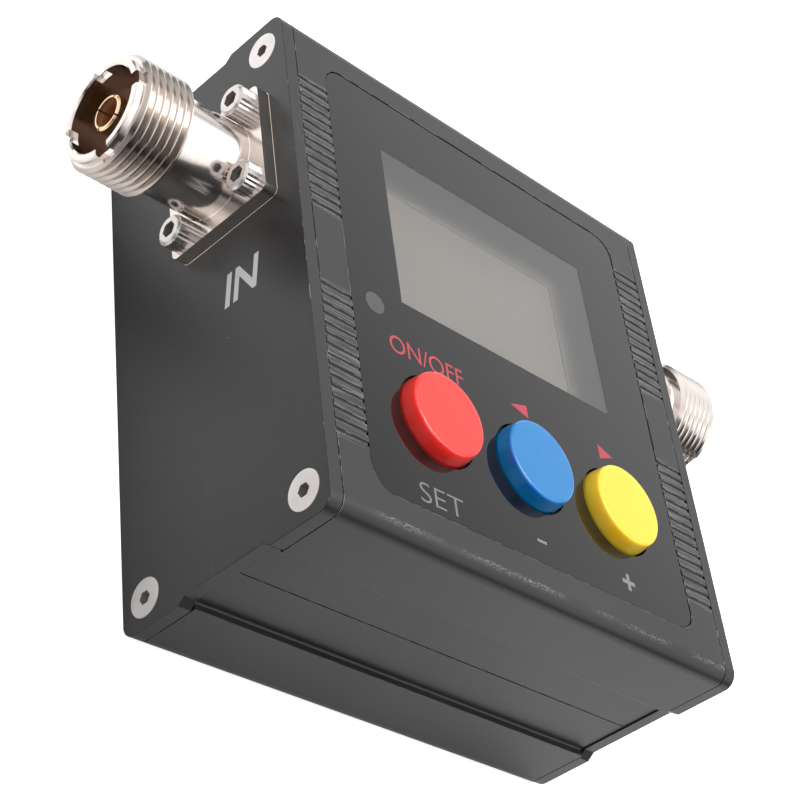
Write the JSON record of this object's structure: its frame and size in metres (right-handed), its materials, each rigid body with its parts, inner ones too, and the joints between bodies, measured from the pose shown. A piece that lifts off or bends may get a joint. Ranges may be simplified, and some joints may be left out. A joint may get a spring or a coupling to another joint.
{
  "type": "swr power meter",
  "caption": "Digital radio power and standing wave meter: split extruded case, inset front panel with display window and push caps, and a threaded coaxial jack on each end plate.",
  "frame": {"origin": "centre of the flat back of the case, on the surface that the meter lies on", "axes": "+X from the left jack to the right jack, +Y up the front panel, +Z out of the front panel"},
  "size_m": [0.111, 0.076, 0.0371],
  "materials": {
    "anodised": "black anodised, semi-gloss",
    "screw_steel": "bright, turned",
    "panel": "glossy dark sheet",
    "tape": "adhesive tape",
    "window": "clear pane",
    "indicator": "smoked lens",
    "red_plastic": "moulded, glossy",
    "blue_plastic": "moulded, glossy",
    "yellow_plastic": "moulded, glossy",
    "white_plastic": "moulded",
    "black_plastic": "moulded",
    "board": "solder mask on glass-fibre sheet",
    "grey_frame": "moulded",
    "display": "reflective display, unpowered",
    "gold": "gold plated",
    "nickel": "nickel plated brass",
    "tinplate": "tin plated sheet",
    "phenolic": "moulded insulator",
    "foil": "laminated foil pouch",
    "foam": "foam pad",
    "lead_cover": "wire insulation"
  },
  "bodies": {
    "case": {"front_shell": "anodised", "rear_shell": "anodised", "left_end_plate": "anodised", "right_end_plate": "anodised", "left_plate_screws": "screw_steel", "right_plate_screws": "screw_steel", "front_panel": "panel", "panel_tape": "tape", "display_window": "window", "indicator_window": "indicator", "switch_bodies": "black_plastic", "switch_covers": "tinplate", "main_board": "board", "display_frame": "grey_frame", "display_glass": "display", "display_pins": "gold", "status_lamp": "white_plastic", "microcontroller": "black_plastic", "small_chips": "black_plastic", "through_line": "gold", "sense_lines": "gold", "detector_parts": "black_plastic", "shield_can": "tinplate", "left_jack_body": "nickel", "left_jack_insulator": "phenolic", "left_jack_contact": "gold", "left_jack_screws": "screw_steel", "right_jack_body": "nickel", "right_jack_insulator": "phenolic", "right_jack_contact": "gold", "right_jack_screws": "screw_steel", "battery": "foil", "battery_pad": "foam", "battery_guard": "board", "battery_leads": "lead_cover", "battery_plug": "white_plastic", "battery_socket": "white_plastic", "charging_socket": "tinplate", "charging_tongue": "black_plastic"},
    "red_button": {"red_cap": "red_plastic", "red_plunger": "white_plastic"},
    "blue_button": {"blue_cap": "blue_plastic", "blue_plunger": "white_plastic"},
    "yellow_button": {"yellow_cap": "yellow_plastic", "yellow_plunger": "white_plastic"}
  },
  "joints": [
    {"name": "red_press", "type": "slide", "parent": "case", "child": "red_button", "axis": [0, 0, -1], "range_m": [0, 0.0005], "stiffness_N_per_m": 3000},
    {"name": "blue_press", "type": "slide", "parent": "case", "child": "blue_button", "axis": [0, 0, -1], "range_m": [0, 0.0005], "stiffness_N_per_m": 3000},
    {"name": "yellow_press", "type": "slide", "parent": "case", "child": "yellow_button", "axis": [0, 0, -1], "range_m": [0, 0.0005], "stiffness_N_per_m": 3000}
  ]
}
